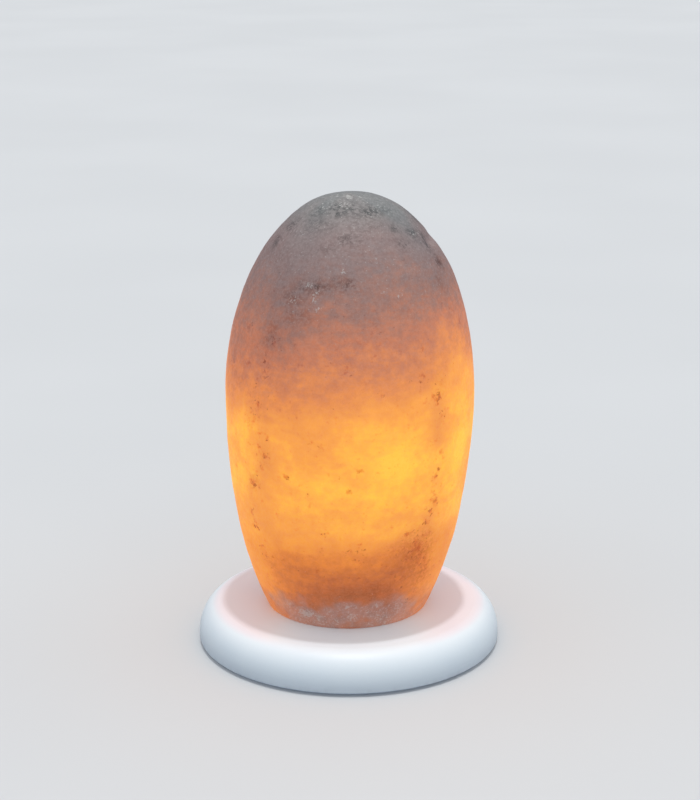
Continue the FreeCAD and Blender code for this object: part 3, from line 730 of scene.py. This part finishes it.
def salt_marks(r, patterns):
    """Shares of the smudges, the specks with the patches, the pale grains and the crust at the foot."""
    gathered, crust = r.attribute("specks"), r.attribute("crust")
    smudge = r.scale(r.plus(r.noise(3.2 * mm, 3, 0.6), r.times(gathered, 0.28)), 0.60, 0.85, 0.0, 0.75)
    tiny = r.scale(r.plus(r.noise(1.9 * mm, 2, 0.6), r.times(gathered, 0.30)), 0.67, 0.86, 0.0, 0.85)
    blots = r.plus(r.times(patterns["grit"], 0.55), r.times(patterns["mottle"], 0.45))
    patch = r.times(r.attribute("stain"), r.scale(blots, 0.43, 0.55, 0.18, 1.0))
    pale = r.scale(r.plus(r.noise(1.0 * mm, 3, 0.6), r.times(crust, 0.34)), 0.66, 0.80)
    return {"smudge": smudge, "specks": r.math("MAXIMUM", tiny, patch, True),
            "pale": r.times(pale, r.scale(r.attribute("glow"), 0.75, 0.35, 0.1, 1.0)),
            "crust": r.times(r.scale(crust, 0.0, 0.36), r.scale(r.along("Z"), *crust_fade))}


def salt_body(r, patterns, lit, marks):
    """Its colour: grey on top, brown towards the foot, where it is darker also as painted shade of the lower
    part, and darker in its grit and its marks.
    """
    body = r.ramp(lit, salt_colours)
    # Brown salt towards the foot, darker there also as painted shade of the lower part, which faces down.
    body = r.mix(r.scale(r.along("Z"), *brown_and_shaded_foot), body, (0.31, 0.146, 0.075))
    body = r.mix(r.scale(r.along("Z"), *cool_crown), body, (0.91, 1.02, 1.02), "MULTIPLY")
    body = r.mix(r.times(marks["crust"], 0.85), body, (0.39, 0.315, 0.295))
    body = r.mix(r.scale(patterns["grit"], 0.32, 0.68), body, (0.84, 0.845, 0.845), "MULTIPLY")
    body = r.mix(r.scale(patterns["streaks"], 0.32, 0.68), body, (0.90, 0.91, 0.92), "MULTIPLY")
    body = r.mix(r.spread(patterns["grain"]), body, (0.90, 0.90, 0.90), "MULTIPLY")
    soot = r.mix(r.scale(lit, 0.05, 0.35), (0.34, 0.40, 0.41), (0.38, 0.35, 0.33))
    body = r.mix(r.larger(marks["specks"], marks["smudge"]), body, soot, "MULTIPLY")
    return r.mix(r.times(marks["pale"], 0.52), body, (0.60, 0.61, 0.59))


def salt_light(r, lit, marks):
    """Light from the bulb: weaker through marks and crust, and seen straight in the bore."""
    shaded = (0.05, 0.03, 0.02)
    light = r.ramp(lit, light_colours)
    light = r.mix(marks["smudge"], light, (0.82, 0.45, 0.30), "MULTIPLY")
    light = r.mix(marks["specks"], light, (0.56, 0.38, 0.28), "MULTIPLY")
    light = r.mix(r.times(marks["crust"], 0.35), light, shaded)
    light = r.mix(r.times(marks["pale"], 0.45), light, shaded)
    in_bore = r.mix(r.scale(r.along("Z"), *bore_fade, 0.25, 1.0), (0.10, 0.03, 0.004), (1.0, 0.62, 0.20))
    return r.mix(r.attribute("bore"), light, in_bore)


def salt_relief(r, patterns):
    """Bumps of the ground surface."""
    relief = r.bump(patterns["mottle"], 0.25 * mm, 0.3)
    relief = r.bump(patterns["grit"], 0.2 * mm, 0.5, relief)
    return r.bump(patterns["grain"], 0.08 * mm, 0.5, relief)


def salt_material():
    """Ground rock salt: matt and grainy, grey where no light comes through and orange where it does."""
    r = Recipe("rock_salt")
    patterns = salt_patterns(r)
    lit = salt_lit(r, patterns)
    marks = salt_marks(r, patterns)
    return r.shade(Base_Color=salt_body(r, patterns, lit, marks), Emission_Color=salt_light(r, lit, marks),
                   Emission_Strength=1.0, Roughness=r.spread(patterns["grit"], 0.48, 0.72),
                   Normal=salt_relief(r, patterns), Specular_IOR_Level=0.35)


# Other materials

def lacquer_material():
    """White satin lacquer: faint orange peel, a painted pink glow from the crystal on top beside it, and
    painted shade in grey patches low on the rim.
    """
    r = Recipe("white_lacquer_paint")
    patches = r.noise(30 * mm, 3)
    peel = r.noise(1.6 * mm, 2)
    fine = r.noise(0.35 * mm, 2)
    colour = r.mix(r.spread(patches), (0.825, 0.91, 0.97), (0.845, 0.925, 0.975))
    # Painted glow: the crystal's light on the base's top, as a pink tint on both sides of the crystal.
    beside = r.scale(r.math("ABSOLUTE", r.along("X")), 28 * mm, 52 * mm)
    painted_glow = r.times(beside, r.scale(r.along("Z"), 17.5 * mm, 19.5 * mm))
    colour = r.mix(painted_glow, colour, (1.0, 0.88, 0.89), "MULTIPLY")
    # Painted shade: the rim turns bluish grey in patches towards its bottom edge.
    low = r.scale(r.along("Z"), 1.5 * mm, 5 * mm, 0.35, 0.0)
    grey_patches = r.times(low, r.scale(r.noise(6 * mm, 4), 0.35, 0.65))
    colour = r.mix(grey_patches, colour, (0.60, 0.64, 0.67))
    relief = r.bump(peel, 0.03 * mm, 0.4)
    relief = r.bump(fine, 0.01 * mm, 0.4, relief)
    return r.shade(Base_Color=colour, Roughness=r.spread(patches, 0.38, 0.46), Normal=relief)


def rubber_material():
    """Black rubber with a little dust."""
    r = Recipe("black_rubber")
    grain = r.noise(0.5 * mm, 3)
    grey_patches = r.noise(4 * mm, 4)
    colour = r.mix(r.scale(grey_patches, 0.45, 0.75), (0.022, 0.022, 0.023), (0.07, 0.068, 0.065))
    return r.shade(Base_Color=colour, Roughness=r.spread(grey_patches, 0.7, 0.9),
                   Normal=r.bump(grain, 0.05 * mm, 0.6))


def plastic_material(name, dark, light, rough, peel_size):
    """Moulded plastic: slightly cloudy colour and a fine moulded texture."""
    r = Recipe(name)
    clouds = r.noise(9 * mm, 3)
    peel = r.noise(peel_size, 2)
    return r.shade(Base_Color=r.mix(r.spread(clouds), dark, light),
                   Roughness=r.spread(clouds, rough - 0.05, rough + 0.05),
                   Normal=r.bump(peel, 0.02 * mm, 0.5))


def porcelain_material():
    """Unglazed porcelain with small brown specks."""
    r = Recipe("unglazed_porcelain")
    clouds = r.noise(3 * mm, 4)
    specks = r.scale(r.noise(0.6 * mm, 2), 0.68, 0.74)
    colour = r.mix(r.spread(clouds), (0.74, 0.72, 0.66), (0.82, 0.80, 0.75))
    colour = r.mix(r.times(specks, 0.5), colour, (0.45, 0.38, 0.30))
    return r.shade(Base_Color=colour, Roughness=r.spread(clouds, 0.55, 0.7),
                   Normal=r.bump(r.noise(0.4 * mm, 3), 0.03 * mm, 0.6))


def metal_material(name, dark, light, rough, stretch=(1, 1, 1)):
    """Bare or plated metal with rolling marks and slight tarnish."""
    r = Recipe(name)
    tarnish = r.noise(4 * mm, 4, 0.6)
    marks = r.noise(0.25 * mm, 3, 0.6, stretch)
    return r.shade(Base_Color=r.mix(r.spread(tarnish), dark, light), Metallic=1.0,
                   Normal=r.bump(marks, 0.01 * mm, 0.5),
                   Roughness=r.spread(tarnish, rough + 0.08, rough - 0.05))


def glass_material():
    """Clear bulb glass with faint ripples."""
    r = Recipe("clear_bulb_glass")
    ripple = r.noise(6 * mm, 2)
    colour = r.mix(r.spread(ripple), (0.96, 0.98, 0.99), (0.99, 0.995, 1.0))
    return r.shade(Base_Color=colour, Roughness=r.spread(ripple, 0.0, 0.03), IOR=1.5,
                   Transmission_Weight=1.0, Normal=r.bump(ripple, 0.05 * mm, 0.15))


def black_glass_material():
    """Black glass that insulates the bulb's cap."""
    r = Recipe("black_cap_glass")
    clouds = r.noise(2 * mm, 3)
    colour = r.mix(r.spread(clouds), (0.008, 0.008, 0.012), (0.022, 0.020, 0.030))
    return r.shade(Base_Color=colour, Roughness=r.spread(clouds, 0.08, 0.2),
                   Normal=r.bump(clouds, 0.04 * mm, 0.3))


def hot_wire_material():
    """Glowing tungsten, hotter in the middle of the coil."""
    r = Recipe("hot_tungsten")
    heat = r.scale(r.math("ABSOLUTE", r.along("X")), 6.3 * mm, 3.5 * mm)
    light = r.mix(heat, (0.35, 0.06, 0.01), (1.0, 0.62, 0.26))
    tint = r.mix(r.spread(r.noise(0.3 * mm, 2)), (0.30, 0.30, 0.32), (0.40, 0.40, 0.42))
    return r.shade(Base_Color=tint, Metallic=1.0, Roughness=0.4, Emission_Color=light,
                   Emission_Strength=4.0)


def slot_materials():
    """Material of each slot, apart from those of the crystal and the filament."""
    rolled = (6, 1, 1)
    return {
        "white_lacquer": lacquer_material(),
        "rubber": rubber_material(),
        "nylon": plastic_material("nylon_natural", (0.60, 0.585, 0.53), (0.70, 0.69, 0.64), 0.5, 1.2 * mm),
        "holder_plastic": plastic_material("holder_thermoset", (0.78, 0.77, 0.73), (0.85, 0.84, 0.81), 0.35,
                                           0.8 * mm),
        "porcelain": porcelain_material(),
        "zinc_steel": metal_material("zinc_plated_steel", (0.50, 0.51, 0.54), (0.68, 0.69, 0.71), 0.32),
        "spring_steel": metal_material("spring_steel_strip", (0.34, 0.35, 0.38), (0.52, 0.54, 0.57), 0.30,
                                       rolled),
        "brass": metal_material("rolled_brass", (0.62, 0.42, 0.16), (0.83, 0.62, 0.28), 0.28),
        "nickel": metal_material("nickel_plate", (0.56, 0.54, 0.49), (0.74, 0.72, 0.68), 0.22),
        "solder": metal_material("solder_blob", (0.42, 0.42, 0.43), (0.62, 0.62, 0.63), 0.38),
        "clear_glass": glass_material(),
        "black_glass": black_glass_material(),
    }


def dress_nodes():
    """Gives every carried-over node the material of its slot."""
    materials = slot_materials()
    for part in frame["record"]["subparts"]:
        if part["material_slot"] in materials:
            mesh = nodes[part["node"]].data
            mesh.materials.clear()
            mesh.materials.append(materials[part["material_slot"]])


# Stage

def floor_material():
    """Pale floor that shows the lamp's shadow, throws no light back up, and is seen through from below."""
    r = Recipe("pale_floor")
    clouds = r.noise(400 * mm, 2)
    pale = r.mix(r.spread(clouds), (0.60, 0.615, 0.63), (0.62, 0.635, 0.65))
    r.shade(Base_Color=pale, Roughness=0.9, Specular_IOR_Level=0.1)
    rays = r.add("LightPath").outputs
    seen = r.larger(rays["Is Camera Ray"], rays["Is Glossy Ray"])
    seen = r.larger(seen, rays["Is Transmission Ray"])
    from_below = r.add("NewGeometry").outputs["Backfacing"]
    choice = r.add("MixShader")
    share, shown, hidden = choice.inputs
    r.set(share, r.larger(from_below, r.math("SUBTRACT", 1.0, seen)))
    r.set(shown, r.shader.outputs["BSDF"])
    r.set(hidden, r.add("BsdfTransparent").outputs["BSDF"])
    r.set(r.tree.nodes["Material Output"].inputs["Surface"], choice.outputs["Shader"])
    return r.material


def floor():
    """Wide disc under the lamp. It sinks with the holder, as if the lamp were lifted to take it out."""
    mesh = bpy.data.meshes.new("floor")
    mesh.from_pydata(ring(floor_radius, 0.0, floor_sides), [], [tuple(range(floor_sides))])
    mesh.materials.append(floor_material())
    ground = bpy.data.objects.new("floor", mesh)
    bpy.context.scene.collection.objects.link(ground)
    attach(ground, "lampholder")


def overhead_lamp():
    """Lamp overhead that gives the crystal its shadow on the base."""
    sun = bpy.data.lights.new("overhead", "SUN")
    sun.energy = 0.95
    sun.angle = math.radians(2.4)
    lamp = bpy.data.objects.new("overhead", sun)
    lamp.rotation_euler = (math.radians(1.6), math.radians(1.7), 0)
    bpy.context.scene.collection.objects.link(lamp)


def surroundings():
    """Soft light from all sides above, and a plain backdrop where the camera sees past the floor."""
    world = bpy.data.worlds.new("studio")
    bpy.context.scene.world = world
    world.use_nodes = True
    g = Graph(world.node_tree)
    towards = g.add("VectorMath")
    towards.operation = "DOT_PRODUCT"
    g.set(towards.inputs[0], g.add("TexCoord").outputs["Generated"])
    towards.inputs[1].default_value = bright_side
    leaning = g.scale(towards.outputs["Value"], -1.0, 1.0, kind="LINEAR")
    sky = g.ramp(leaning, [((place + 1) / 2, colour) for place, colour in sky_colours], "EASE")
    rays = g.add("LightPath").outputs
    seen = g.larger(rays["Is Camera Ray"], rays["Is Transmission Ray"])
    g.set(g.tree.nodes["Background"].inputs["Color"], g.mix(seen, sky, backdrop_colour))


def camera():
    """The photograph's viewing angle: from the front, looking down a little."""
    data = bpy.data.cameras.new("camera")
    data.sensor_width = sensor
    data.lens = sensor * focal_pixels / frame_height_pixels
    data.clip_start = 0.05
    data.clip_end = 50
    viewer = bpy.data.objects.new("camera", data)
    back = Vector((0, -math.cos(view_elevation), math.sin(view_elevation)))
    viewer.location = view_target + back * view_distance
    viewer.rotation_euler = (-back).to_track_quat("-Z", "Y").to_euler()
    bpy.context.scene.collection.objects.link(viewer)
    bpy.context.scene.camera = viewer


camera()
overhead_lamp()
surroundings()
floor()
crystal()
filament()
dress_nodes()

bpy.context.scene.view_settings.view_transform = "Standard"
